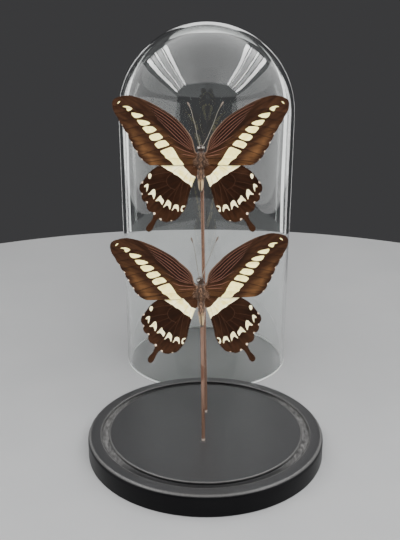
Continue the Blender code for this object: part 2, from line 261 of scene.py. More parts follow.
# Wing colours
FOREWING_COLOURS = {
    "dark": (32, 17, 9), "brown": (50, 31, 19), "warm": (88, 60, 35), "cell": (19, 8, 5),
    "ray": (114, 78, 66), "vein": (20, 9, 4), "costa": (100, 79, 66), "cream": (240, 222, 122),
    "pale": (255, 244, 166), "pale_vein": (160, 134, 86), "fringe": (220, 196, 170),
    "under": (92, 66, 42),
}
HINDWING_COLOURS = dict(
    FOREWING_COLOURS, dark=(20, 8, 3), brown=(31, 14, 6), warm=(76, 50, 33), vein=(48, 28, 18),
    pale_vein=(170, 148, 100), pale=(255, 246, 196),
)

# Stage, in metres
ROOM_COLOUR = (0.05, 0.05, 0.052, 1)
FLOOR_R = 0.5
SIDE_RADIANCE = {"left": 1, "right": 1.3}
CEILING_RADIANCE = 1.6
FRONT_RADIANCE = 16.0
BACK_RADIANCE = 1.2
STRIP_REACH = 0.9  # distance of the strips from the dome
# Strips overhead at each side: degrees above the horizon, width and radiance
CEILING_STRIPS = [(40.5, 0.05, 12), (44.5, 0.05, 3.5), (47.5, 0.022, 11), (50.6, 0.06, 3.5),
                  (53.6, 0.018, 9), (56.5, 0.045, 13)]
# Upright strips at each side of the back: degrees from straight behind, width and radiance
TALL_STRIPS = [(46, 0.08, 2), (18, 0.04, 2)]


# ---------------------------------------------------------------- shapes

def smooth(points, spacing, closed=False):
    """A Catmull-Rom line through the points, sampled about every `spacing`."""
    points = np.array(points, float)
    before, after = 2 * points[0] - points[1], [2 * points[-1] - points[-2]]
    if closed:
        before, after = points[-1], points[:2]
    points = np.vstack([before, points, after])
    sampled = []
    for p0, p1, p2, p3 in zip(points, points[1:], points[2:], points[3:]):
        steps = max(1, round(float(np.linalg.norm(p2 - p1)) / spacing))
        t = np.arange(steps)[:, None] / steps
        sampled.append(0.5 * (2 * p1 + (p2 - p0) * t + (2 * p0 - 5 * p1 + 4 * p2 - p3) * t ** 2
                              + (3 * p1 - p0 - 3 * p2 + p3) * t ** 3))
    if not closed:
        sampled.append(points[-2:-1])
    return np.vstack(sampled)


def path_distance(points, path):
    """Distance from each point to an open path."""
    best = np.full(len(points), np.inf)
    for start, end in zip(path, path[1:]):
        along = end - start
        share = np.clip((points - start) @ along / max(along @ along, 1e-9), 0.0, 1.0)
        best = np.minimum(best, np.linalg.norm(points - start - share[:, None] * along, axis=1))
    return best


def inside(points, loop):
    """Which points lie inside a closed loop."""
    found = np.zeros(len(points), bool)
    x, y = points.T
    for (x1, y1), (x2, y2) in zip(loop, np.roll(loop, -1, axis=0)):
        if y1 != y2:
            crosses = (y1 > y) != (y2 > y)
            found ^= crosses & (x < (x2 - x1) * (y - y1) / (y2 - y1) + x1)
    return found


def signed_distance(points, loop):
    """Distance to a closed loop, positive inside it."""
    distance = path_distance(points, np.vstack([loop, loop[:1]]))
    return np.where(inside(points, loop), distance, -distance)


def ramp(values, start, end):
    """A smooth step from 0 at `start` to 1 at `end`, which may be the smaller of the two."""
    share = np.clip((values - start) / (end - start), 0.0, 1.0)
    return share * share * (3 - 2 * share)


def unit(vectors):
    """Vectors of length 1 along the given ones."""
    return vectors / (np.linalg.norm(vectors, axis=-1, keepdims=True) + 1e-9)


def columns(*parts):
    """Coordinates side by side, from the values on each axis."""
    return np.stack(np.broadcast_arrays(*parts), axis=-1)


def around(sides):
    """Evenly spread angles of a full turn."""
    return 2 * math.pi * np.arange(sides) / sides


def shown(data, location=(0, 0, 0), rotation=(0, 0, 0)):
    """A new object in the scene, named after its data."""
    made = bpy.data.objects.new(data.name, data)
    made.location = location
    made.rotation_euler = rotation
    bpy.context.scene.collection.objects.link(made)
    return made


class Build:
    """Gathers parts, in millimetres, that are joined into one mesh."""

    def __init__(self):
        self.vertices, self.faces, self.slots, self.values = [], [], [], []
        self.count = 0

    def add(self, vertices, faces, slot=0, **values):
        """Values are numbers, or rows for each vertex, that become attributes."""
        self.faces += [tuple(corner + self.count for corner in face) for face in faces]
        self.slots += [slot] * len(faces)
        self.vertices.append(np.asarray(vertices, float))
        self.values.append({key: np.full(len(vertices), value) if np.ndim(value) == 0 else value
                            for key, value in values.items()})
        self.count += len(vertices)

    def rows(self, key):
        """One attribute's values for every vertex, zero where a part has none."""
        shape = next(values[key].shape[1:] for values in self.values if key in values)
        parts = [values.get(key, np.zeros((len(part), *shape)))
                 for part, values in zip(self.vertices, self.values)]
        return np.concatenate(parts).astype(np.float32)

    def make(self, name, looks, sharp=None):
        """The mesh object. Edges that turn by more than `sharp` degrees are creases."""
        mesh = bpy.data.meshes.new(name)
        mesh.from_pydata(np.vstack(self.vertices) * MM, [], self.faces)
        for key in sorted({key for values in self.values for key in values}):
            rows = self.rows(key)
            kind, slot = ("FLOAT_VECTOR", "vector") if rows.ndim == 2 else ("FLOAT", "value")
            mesh.attributes.new(key, kind, "POINT").data.foreach_set(slot, rows.ravel())
        for look in looks:
            mesh.materials.append(look)
        mesh.polygons.foreach_set("material_index", self.slots)
        mesh.shade_smooth()
        if sharp is not None:
            mesh.set_sharp_from_angle(angle=math.radians(sharp))
        mesh.validate()
        return shown(mesh)


def one_piece(name, shape, looks, sharp=None, second=None, **values):
    """The mesh object of one shape. Faces whose corners pass the test `second` get the second look."""
    built = Build()
    built.add(*shape, **values)
    if second:
        built.slots = [int(second(shape[0][list(face)])) for face in built.faces]
    return built.make(name, looks, sharp)


def rings_to_faces(rings, sides):
    """Quads between rings of vertices that follow each other."""
    faces = []
    for first in range(0, (rings - 1) * sides, sides):
        for side in range(sides):
            after = (side + 1) % sides
            faces.append((first + side, first + after, first + sides + after, first + sides + side))
    return faces


def capped(rings):
    """Vertices and faces of a skin over rings of vertices, with flat ends."""
    sides = len(rings[0])
    last = (len(rings) - 1) * sides
    ends = [tuple(reversed(range(sides))), tuple(range(last, last + sides))]
    return np.vstack(rings), rings_to_faces(len(rings), sides) + ends


def tube(path, radii, sides):
    """Vertices and faces of a capped round tube along a path."""
    path = np.asarray(path, float)
    tangents = unit(np.gradient(path, axis=0))
    normal = np.cross(tangents[0], (0.31, 0.22, 0.93))
    angles = around(sides)[:, None]
    rings = []
    for place, tangent, radius in zip(path, tangents, np.broadcast_to(radii, (len(path),))):
        normal = unit(normal - tangent * (normal @ tangent))
        rings.append(place + radius * (np.cos(angles) * normal
                                       + np.sin(angles) * np.cross(tangent, normal)))
    return capped(rings)


def arc(centre, radius, first, last, steps):
    """Points of a circle's arc, at angles in degrees counted from the first axis to the second."""
    angles = np.radians(np.linspace(first, last, steps + 1))
    return [(centre[0] + radius * math.cos(angle), centre[1] + radius * math.sin(angle))
            for angle in angles]


def turned(profile, centre, sides):
    """Spins (radius, height) points about a vertical axis. The ends lie on the axis."""
    profile = np.array(profile, float)
    middle = profile[1:-1, :, None]
    rings = columns(middle[:, 0] * np.cos(around(sides)) + centre[0],
                    middle[:, 0] * np.sin(around(sides)) + centre[1], middle[:, 1]).reshape(-1, 3)
    vertices = np.vstack([rings, (*centre, profile[0, 1]), (*centre, profile[-1, 1])])
    faces = [tuple(reversed(face)) for face in rings_to_faces(len(middle), sides)]
    start, end = len(rings), len(rings) + 1
    last = len(rings) - sides
    for side in range(sides):
        after = (side + 1) % sides
        faces += [(start, side, after), (end, last + after, last + side)]
    return vertices, faces


def ball(centre, radii):
    """Vertices and faces of an ellipsoid."""
    vertices, faces = turned(arc((0, 0), 1, 90, -90, 12), (0, 0), 20)
    return vertices * radii + centre, faces


def blades(roots, directions, lengths, width, bends):
    """Vertices and faces of tapered, slightly bent hairs, each a quad and a triangle."""
    half = unit(np.cross(directions, bends)) * width / 2
    lengths = lengths[:, None]
    middle = roots + directions * lengths * 0.55 + bends * lengths * 0.06
    tip = roots + directions * lengths + bends * lengths * 0.22
    corners = np.stack([roots - half, roots + half, middle + half * 0.7, middle - half * 0.7, tip],
                       axis=1)
    faces = []
    for first in range(0, 5 * len(roots), 5):
        faces += [(first, first + 1, first + 2, first + 3), (first + 3, first + 2, first + 4)]
    return corners.reshape(-1, 3), faces


# ---------------------------------------------------------------- looks

def paint(colour):
    """A linear colour from red, green and blue as 0 to 255 on a screen."""
    return tuple((part / 255 / 12.92) if part < 11 else ((part / 255 + 0.055) / 1.055) ** 2.4
                 for part in colour) + (1.0,)


class Look:
    """A Principled material. Most calls add nodes and return the last one's output."""

    def __init__(self, name, **constants):
        self.material = bpy.data.materials.new(name)
        self.material.use_nodes = True
        self.tree = self.material.node_tree
        self.shader = self.tree.nodes["Principled BSDF"]
        for key, value in constants.items():
            self.shader.inputs[key.replace("_", " ").title().replace("Ior", "IOR")].default_value = value

    def feed(self, node, key, value):
        if isinstance(value, bpy.types.NodeSocket):
            self.tree.links.new(value, node.inputs[key])
        else:
            node.inputs[key].default_value = value

    def node(self, kind, inputs, output=0, **settings):
        made = self.tree.nodes.new("ShaderNode" + kind)
        for key, value in settings.items():
            setattr(made, key, value)
        for key, value in inputs.items():
            self.feed(made, key, value)
        return made.outputs[output]

    def attribute(self, name, output="Fac"):
        return self.node("Attribute", {}, output, attribute_name=name)

    def scaled(self, where, scale):
        return self.node("VectorMath", {0: where, 1: scale}, operation="MULTIPLY")

    def place(self, scale=(1000, 1000, 1000)):
        """The object's own coordinates, in millimetres unless an axis is scaled otherwise."""
        return self.scaled(self.node("TexCoord", {}, "Object"), scale)

    def axis(self, where, index):
        return self.node("SeparateXYZ", {"Vector": where}, index)

    def noise(self, scale, detail=2, roughness=0.5, where=None):
        return self.node("TexNoise", {"Vector": self.place() if where is None else where,
                                      "Scale": scale, "Detail": detail, "Roughness": roughness})

    def math(self, operation, *values):
        return self.node("Math", dict(enumerate(values)), operation=operation)

    def times(self, product, *others):
        for other in others:
            product = self.math("MULTIPLY", product, other)
        return product

    def linear(self, value, slope, start):
        return self.math("MULTIPLY_ADD", value, slope, start)

    def step(self, value, low, high, start=0, end=1):
        return self.node("MapRange", {"Value": value, "From Min": low, "From Max": high,
                                      "To Min": start, "To Max": end}, interpolation_type="SMOOTHSTEP")

    def near(self, value, place, low, high):
        """A step over the distance between a value and a place."""
        return self.step(self.math("ABSOLUTE", self.math("SUBTRACT", value, place)), low, high)

    def mix(self, share, first, second, blend="MIX"):
        """Colours are outputs, or red, green and blue on a screen."""
        first, second = (paint(colour) if isinstance(colour, tuple) else colour
                         for colour in (first, second))
        return self.node("Mix", {0: share, 6: first, 7: second}, 2, data_type="RGBA", blend_type=blend)

    def done(self, colour, rough=(), height=None, depth=0, strength=1):
        """The material with its colour, roughness (value, slope, start) and relief in millimetres."""
        self.feed(self.shader, "Base Color", colour)
        if rough:
            self.feed(self.shader, "Roughness", self.linear(*rough))
        if height is not None:
            relief = {"Height": height, "Distance": depth * MM, "Strength": strength}
            self.feed(self.shader, "Normal", self.node("Bump", relief))
        return self.material


def black_wood(name, shine, radius, height):
    """Satin black paint over turned wood. Its top is painted lighter, partly dust and partly painted
    light; the groove is painted near black as painted shade; the groove's left and right are grey, partly
    wear and partly painted sheen; its edges are lighter, partly rubbed wear and partly painted
    highlights.
    """
    look = Look(name, specular_ior_level=shine)
    where = look.place()
    level = look.axis(where, 2)
    out = look.node("VectorMath", {0: look.scaled(where, (1, 1, 0))}, "Value", operation="LENGTH")
    sideways = look.math("DIVIDE", look.math("ABSOLUTE", look.axis(where, 0)), out)
    cloud = look.noise(0.045, 3)
    dust = look.noise(0.9, 5, 0.65)
    scuffs = look.noise(0.8, 4, 0.6, look.place((1000, 300, 1000)))
    # Painted shade: the whole groove is painted near black, as shade in the recess.
    groove = look.near(out, (GROOVE_IN + GROOVE_OUT) / 2, 3.1, 2.3)
    # Painted light: the top faces are painted lighter than the sides, partly as dust.
    dust_and_top_light = look.times(look.step(level, height - 1, height - 0.1),
                       look.step(dust, 0.1, 0.7, 0.6, 1))
    specks = look.times(look.step(look.noise(3.2, 1), 0.72, 0.78),
                        look.step(level, height - 3, height, 0.1, 0.45))
    # Painted sheen: grey on the groove's left and right as seen from the front, partly wear.
    wear_and_sheen = look.times(groove, look.step(scuffs, 0.25, 0.7), look.step(sideways, 0.6, 0.95, 0.04, 0.8))
    # Painted highlights: lighter lines along the lips of the groove and the outer edge, partly rubbed
    # wear.
    rubbed_and_highlight = 0
    for edge, width in ((GROOVE_IN - 0.45, 0.5), (GROOVE_OUT + 0.5, 0.5), (radius - 1.4, 1)):
        rubbed_and_highlight = look.math("MAXIMUM", rubbed_and_highlight, look.near(out, edge, width, 0.15))
    rubbed_and_highlight = look.times(rubbed_and_highlight, look.step(level, height - 1.6, height - 0.4),
                        look.step(dust, 0.3, 0.6, 0.35, 0.8))
    colour = look.mix(cloud, (4, 4, 5), (8, 8, 9))
    for share, over in ((dust_and_top_light, (29, 29, 30)), (specks, (84, 83, 82)), (groove, (3, 3, 4)),
                        (wear_and_sheen, (88, 87, 86)), (rubbed_and_highlight, (58, 57, 56))):
        colour = look.mix(share, colour, over)
    ridges = look.node("TexWave", {"Vector": where, "Scale": 0.9, "Distortion": 0.6, "Detail": 2},
                       wave_type="RINGS", rings_direction="Z")
    grain = look.noise(1.6, 4, 0.5, look.place((1000, 160, 1000)))
    bumps = look.linear(ridges, 0.15, look.linear(grain, 0.4, look.noise(1.1)))
    return look.done(colour, (wear_and_sheen, 0.3, look.linear(cloud, 0.08, 0.34)), bumps, 0.035)


def dome_glass():
    """Clear blown glass with a faint wave in it and a barely seen film of dust."""
    look = Look("dome_glass", transmission_weight=1, ior=1.5, roughness=0)
    film = look.step(look.noise(0.05, 4, 0.6), 0.4, 0.8)
    wave = look.noise(0.03, 1, 0.5, look.place((1000, 1000, 350)))
    return look.done(look.mix(film, (253, 255, 254), (248, 250, 249)), (), wave, 0.6, 0.5)


def ground_glass():
    """The dome's rim, ground flat."""
    look = Look("ground_glass", transmission_weight=0.08, ior=1.5)
    grit = look.noise(5, 3)
    colour = look.mix(grit, (238, 242, 240), (252, 253, 252))
    return look.done(colour, (grit, 0.2, 0.4), grit, 0.05)


def copper(base_top):
    """Copper-coated wire, streaked by drawing, dulled in places, and pale near its foot."""
    look = Look("copper_rod", metallic=0.8, specular_ior_level=0.6)
    streak = look.noise(1, 3, 0.5, look.place((9000, 9000, 60)))
    dull = look.noise(0.25, 4, 0.6, look.place((1000, 1000, 250)))
    # Pale band from inside the socket to just above the base's top.
    pale_foot = look.step(look.axis(look.place(), 2), base_top + 1.9, base_top + 1)
    colour = look.mix(streak, (132, 100, 84), (168, 136, 118))
    colour = look.mix(look.step(dull, 0.45, 0.75), colour, (106, 74, 60))
    rough = (streak, 0.08, look.linear(dull, 0.15, 0.14))
    return look.done(look.mix(pale_foot, colour, (226, 208, 196)), rough, streak, 0.01)


def wing_scales(name, colours, cream_edge):
    """Scaled wing: markings, veins and rays come from values that the mesh carries."""
    look = Look(name, sheen_weight=0.1, sheen_roughness=0.5, specular_ior_level=0.15,
                    sheen_tint=(0.6, 0.4, 0.25, 1))
    flat, fan = (look.attribute(key, "Vector") for key in ("flat", "fan"))
    cream, vein = (look.attribute(key) for key in ("cream", "vein"))
    streaks = look.noise(1, 4, 0.6, fan)
    blotch = look.noise(0.33, 3, 0.55, flat)
    scale = look.noise(5.5, 1.5, 0.7, flat)
    warmth = look.times(look.attribute("warm"), look.step(blotch, 0.25, 0.7, 0.6, 1),
                        look.step(streaks, 0.3, 0.6, 0.45, 1))
    pale = look.mix(look.times(look.step(cream, 0.3, 1.4), look.step(blotch, 0.3, 0.75)),
                    colours["pale"], colours["cream"])
    pale = look.mix(look.step(vein, 0.3, 0.1, 0, 0.45), pale, colours["pale_vein"])
    ragged = look.linear(look.noise(1.6, 3, 0.5, flat), 0.4, cream)
    colour = look.mix(look.step(streaks, 0.35, 0.7), colours["dark"], colours["brown"])
    for share, over in ((warmth, colours["warm"]), (look.attribute("cell"), colours["cell"]),
                        (look.step(vein, 0.34, 0.12, 0, 0.75), colours["vein"]),
                        (look.attribute("ray"), colours["ray"]),
                        (look.attribute("costa"), colours["costa"]),
                        (look.step(ragged, cream_edge, cream_edge + 0.16), pale),
                        (look.step(look.attribute("fringe"), -0.12, 0.12), colours["fringe"]),
                        (look.times(look.attribute("under"), 0.35), colours["under"])):
        colour = look.mix(share, colour, over)
    shade = look.step(scale, 0.2, 0.8, 0.78, 1.12)
    grain = look.node("CombineColor", {0: shade, 1: shade, 2: shade})
    return look.done(look.mix(1, colour, grain, "MULTIPLY"), (scale, 0.2, 0.55),
                     look.linear(streaks, 0.6, scale), 0.05)


def body_hair():
    """Hairs from dark to pale brown, and white ones where the tone is over 1."""
    look = Look("body_hair", sheen_weight=0.1, specular_ior_level=0.25)
    tone = look.attribute("tone")
    spread = look.noise(2.5)
    colour = look.mix(tone, look.mix(spread, (24, 15, 9), (42, 28, 17)), (164, 128, 104))
    colour = look.mix(look.step(tone, 1, 1.2), colour, (226, 222, 214))
    return look.done(colour, (spread, 0.2, 0.55), look.noise(8), 0.03)


def body_shell():
    """Scaled skin of head, thorax and abdomen, with cream stripes on the abdomen."""
    look = Look("body_shell", sheen_weight=0.2, specular_ior_level=0.35)
    mottle = look.noise(1.8, 4, 0.6)
    stripe = look.linear(mottle, 0.5, look.attribute("stripe"))
    colour = look.mix(look.step(stripe, 0.15, 0.4), look.mix(mottle, (22, 14, 9), (50, 34, 22)),
                      look.mix(mottle, (118, 98, 68), (166, 146, 110)))
    return look.done(colour, (mottle, 0.3, 0.4), look.noise(6, 3), 0.06)


def eye_shell():
    """Dark compound eye with its fine facets."""
    look = Look("eye_shell", coat_weight=0.6, coat_roughness=0.15)
    facets = look.node("TexVoronoi", {"Vector": look.place(), "Scale": 14}, "Distance")
    colour = look.mix(facets, (20, 12, 10), (58, 36, 28))
    return look.done(colour, (facets, 0.3, 0.2), facets, 0.02)


def antenna_shell():
    """Ringed grey-brown feeler, darker at its club."""
    look = Look("antenna_shell", specular_ior_level=0.4)
    rings = look.math("PINGPONG", look.times(look.attribute("along"), 2.4), 1)
    mottle = look.noise(3)
    shade = look.times(look.step(rings, 0.3, 0.9), mottle)
    colour = look.mix(look.attribute("club"), look.mix(shade, (86, 82, 74), (144, 140, 128)),
                      (88, 78, 70))
    return look.done(colour, (mottle, 0.2, 0.4), rings, 0.04)


def floor_look():
    """Plain pale table top."""
    look = Look("pale_floor", specular_ior_level=0.3)
    mottle = look.noise(0.02, 3)
    return look.done(look.mix(mottle, (122, 123, 124), (130, 130, 130)), (mottle, 0.1, 0.5))


# ---------------------------------------------------------------- base, dome and rods

def build_base():
    """The turned base, with its groove, its rounded edges and a socket for each rod."""
    low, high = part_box("base")
    radius, height = (high.x - low.x) / 2 / MM, high.z / MM
    floor = height - GROOVE_DEPTH
    disc_end = GROOVE_IN - DISC_ROUND
    profile = [
        (0, height), *[(reach, height) for reach in np.linspace(4, disc_end - 0.4, 16)],
        *arc((disc_end, height - DISC_ROUND), DISC_ROUND, 90, 0, 8),
        *arc((GROOVE_IN + GROOVE_FILLET, floor + GROOVE_FILLET), GROOVE_FILLET, 180, 270, 4),
        *arc((GROOVE_OUT - GROOVE_FILLET, floor + GROOVE_FILLET), GROOVE_FILLET, 270, 360, 4),
        *arc((GROOVE_OUT + GROOVE_WALL_ROUND, height - GROOVE_WALL_ROUND), GROOVE_WALL_ROUND,
             180, 90, 8),
        *arc((radius - EDGE_ROUND, height - EDGE_ROUND), EDGE_ROUND, 90, 0, 12),
        *arc((radius - FOOT_ROUND, FOOT_ROUND), FOOT_ROUND, 0, -90, 5),
        (radius * 0.5, 0), (0, 0),
    ]

    def on_side(corners):
        return (np.hypot(*corners.T[:2]).min() > radius - 0.4 * EDGE_ROUND
                and corners[:, 2].max() < height - 0.3 * EDGE_ROUND)

    # The side's copy has far less shine: painted shade that darkens the side.
    looks = [black_wood("black_wood", 0.5, radius, height),
             black_wood("black_wood_shaded_side", 0.11, radius, height)]
    base = one_piece("turned_base", turned(profile, (0, 0), ROUND_STEPS), looks, 40, on_side)
    for foot in ROD_FEET.values():
        drill_socket(base, foot, height)
    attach(base, "root")
    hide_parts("base")


def drill_socket(base, foot, top):
    """Cuts the blind hole that a rod stands in."""
    path = [(*foot, top - SOCKET_DEPTH), (*foot, top + SOCKET_DEPTH)]
    drill = one_piece("drill", tube(path, SOCKET_R, 32), [])
    cut = base.modifiers.new("socket", "BOOLEAN")
    cut.operation = "DIFFERENCE"
    cut.solver = "EXACT"
    cut.object = drill
    bpy.context.view_layer.objects.active = base
    bpy.ops.object.modifier_apply(modifier=cut.name)
    bpy.data.objects.remove(drill)


def build_dome(looks):
    """The glass bell, a shell under a half sphere, with its rim ground flat."""
    low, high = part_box("glass_dome")
    centre = ((low.x + high.x) / 2 / MM, (low.y + high.y) / 2 / MM)
    shoulder_r = (high.x - low.x) / 2 / MM
    rim_r = shoulder_r - DOME_RIM_NARROWING
    shoulder = high.z / MM - shoulder_r
    ground_share = (shoulder - DOME_GROUND) / (shoulder - DOME_RIM_CHAMFER)
    wall = [(shoulder_r + (rim_r - shoulder_r) * share, shoulder + (DOME_RIM_CHAMFER - shoulder) * share)
            for share in (*np.linspace(0, 1, 25)[1:-1], ground_share, 1)]
    profile = [
        *arc((0, shoulder), shoulder_r, 90, 0, 48), *wall,
        (rim_r - DOME_RIM_CHAMFER, 0), (rim_r - DOME_WALL + DOME_RIM_CHAMFER, 0),
        *[(reach - DOME_WALL, height) for reach, height in reversed(wall)],
        *arc((0, shoulder), shoulder_r - DOME_WALL, 0, 90, 48),
    ]
    dome = one_piece("glass_bell", turned(profile, centre, ROUND_STEPS), looks, 40,
                     lambda corners: corners[:, 2].max() <= DOME_GROUND + 1e-6)
    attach(dome, "root")
    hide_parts("glass_dome")


def build_rod(insect, look):
    """A straight wire whose top bends forward into the thorax."""
    label = insect["name"]
    u, v, w = centre_of(label)
    foot = np.array((*ROD_FEET[label], ROD_SOCKET_FLOOR + 0.3))
    base_top = np.array((*ROD_FEET[label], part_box("base")[1].z / MM))
    top = np.array((u + ROD_TOP_U, v - BODY_W + BODY_BACK + 0.3 + ROD_R, w - ROD_BEND))
    straight = [base_top + (top - base_top) * share for share in np.linspace(0, 1, 30)]
    bend = [top + (0, -ROD_BEND * (1 - math.cos(angle)), ROD_BEND * math.sin(angle))
            for angle in np.linspace(0.1, math.pi / 2, 8)]
    tip = [bend[-1] + (0, -length, 0) for length in (0.8, 1.5)]
    path = [foot, (foot + base_top) / 2, *straight, *bend, *tip]
    rod = one_piece(f"copper_wire_{label}", tube(path, ROD_R, 40), [look], 50)
    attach(rod, "root")
    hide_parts(f"rod_{label}")


# ---------------------------------------------------------------- butterflies

def centre_of(label):
    """Where an insect's u, v and w are 0, from its body's place in the frame."""
    low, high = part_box(f"{label}_body")
    return np.array(((low.x + high.x) / 2, (low.y + high.y) / 2, high.z)) / MM + (0, BODY_W, -HEAD_TOP)


def upright(points, insect):
    """From an insect's flat frame to the world: u along +X, v along +Z, w along -Y, then its turn."""
    u, v, w = np.asarray(points, float).T
    cos, sin = math.cos(insect["turn"]), math.sin(insect["turn"])
    return columns(u * cos - v * sin, -w, u * sin + v * cos) + centre_of(insect["name"])


def fitted(points, root, fit, side):
    """Where points of the drawn wing lie on this specimen, on the +u side."""
    out, along = (np.asarray(points, float) - root).T
    share = np.clip(out / SHIFT_FADE, 0.0, 1.0)
    u = out * fit["stretch"][0] + along * fit["lean"] + share * fit["shift"][0]
    v = along * fit["stretch"][1] + out * fit["lift"] + share * fit["shift"][1]
    sway = side * fit["sway"]
    u, v = u * math.cos(sway) - v * math.sin(sway), u * math.sin(sway) + v * math.cos(sway)
    return root[0] + np.where(out < 0, out, np.maximum(u, 0.0)), root[1] + v


class WingDrawing:
    """One wing's sheet and lines, with what its look needs to know at each point."""

    def __init__(self, kind, root, edge, veins, spots, fringe, rays):
        self.kind, self.root, self.fringe = kind, root, fringe
        edge = [smooth(stretch, WING_STEP) for stretch in edge]
        self.outline = np.vstack([line[:-1] for line in edge])
        self.margin = edge[1] if kind == "forewing" else np.vstack(edge[1:])
        self.spots = [smooth(spot, 0.3, closed=True) for spot in spots]
        self.veins = [smooth(vein, 0.7) for vein in veins]
        self.rays = [smooth(ray, 0.6) for ray in rays]
        self.points, self.triangles = self.sheet()
        self.measured = self.measure(self.points)
        self.lines = [(path, dict(self.measure(path), ray=np.full(len(path), is_ray)))
                      for paths, is_ray in ((self.veins, 0.0), (self.rays, 1.0)) for path in paths]
        bare = len(self.margin) // 2 if kind == "forewing" else 0
        line = self.margin[bare:]
        steps = np.linspace(0, len(line) - 1, len(line) * EDGE_BLADES)
        self.edge = columns(*(np.interp(steps, np.arange(len(line)), values) for values in line.T))
        self.edge_values = self.measure(self.edge)

    def sheet(self):
        """Points on the outline and evenly inside it, and the triangles between them."""
        low, high = self.outline.min(0), self.outline.max(0)
        rows = np.arange(low[1], high[1], WING_STEP * math.sqrt(0.75))
        grid = np.vstack([columns(np.arange(low[0] + (row % 2) * WING_STEP / 2, high[0], WING_STEP), v)
                          for row, v in enumerate(rows)])
        grid = grid[signed_distance(grid, self.outline) > WING_STEP * 0.55]
        places = [Vector(point) for point in np.vstack([self.outline, grid])]
        found = delaunay_2d_cdt(places, [], [list(range(len(self.outline)))], 1, 1e-5, False)
        points, triangles = np.array([tuple(point) for point in found[0]]), np.array(found[2])
        within = inside(points[triangles].mean(axis=1), self.outline)
        return points, triangles[within].tolist()

    def measure(self, points):
        """The values that the look reads, for points of the drawing."""
        u, v = points.T
        across, along = (points - self.root + FAN_START).T
        reach = np.hypot(across, along)
        margin = path_distance(points, self.margin)
        if self.kind == "forewing":
            beyond = 0.767 * (u - 15.0) - 0.641 * (v + 2.5)  # how far past the cream band's inner edge
            outer = ramp(beyond, 3, 9) * ramp(margin, 0.3, 4.5) * ramp(v, 30, 14)
            beside = 0.3 * ramp(np.abs(beyond + 5.5), 5, 0) * ramp(v, 26, 14)
            warm = np.max([outer, beside, 0.45 * ramp(reach, 17, 8) * ramp(v, 6, -1)], axis=0)
            costal = self.margin[: len(self.margin) * 45 // 100]
            costa = ramp(path_distance(points, costal), 0.8, 0.25) * (0.4 + 0.6 * ramp(reach, 34, 18))
            cell = 0.9 * ramp(beyond, -2, -6) * ramp(reach, 11, 18) * ramp(reach, 46, 32)
            cell *= ramp(path_distance(points, self.rays[RAY_COUNT // 2]), 6.5, 3)
        else:
            outer = 0.3 * ramp(margin, 9, 2) * ramp(v, -12, -30)
            shoulder = 0.18 * ramp(np.hypot(u - 25.0, v + 6.5), 7, 1)
            warm = np.max([outer, shoulder, 0.6 * ramp(reach, 18, 11)], axis=0)
            costa = cell = 0 * u
        return {
            "flat": columns(u, v, 0), "warm": warm, "costa": costa, "cell": cell, "margin": margin,
            "fan": columns(np.degrees(np.arctan2(along, across)) * 0.45, reach * 0.09, 0),
            "cream": np.max([signed_distance(points, spot) for spot in self.spots], 0),
            "vein": np.min([path_distance(points, vein) for vein in self.veins], 0),
            "fringe": np.max([size - np.hypot(*(points - at).T) for at, size in self.fringe], 0),
        }


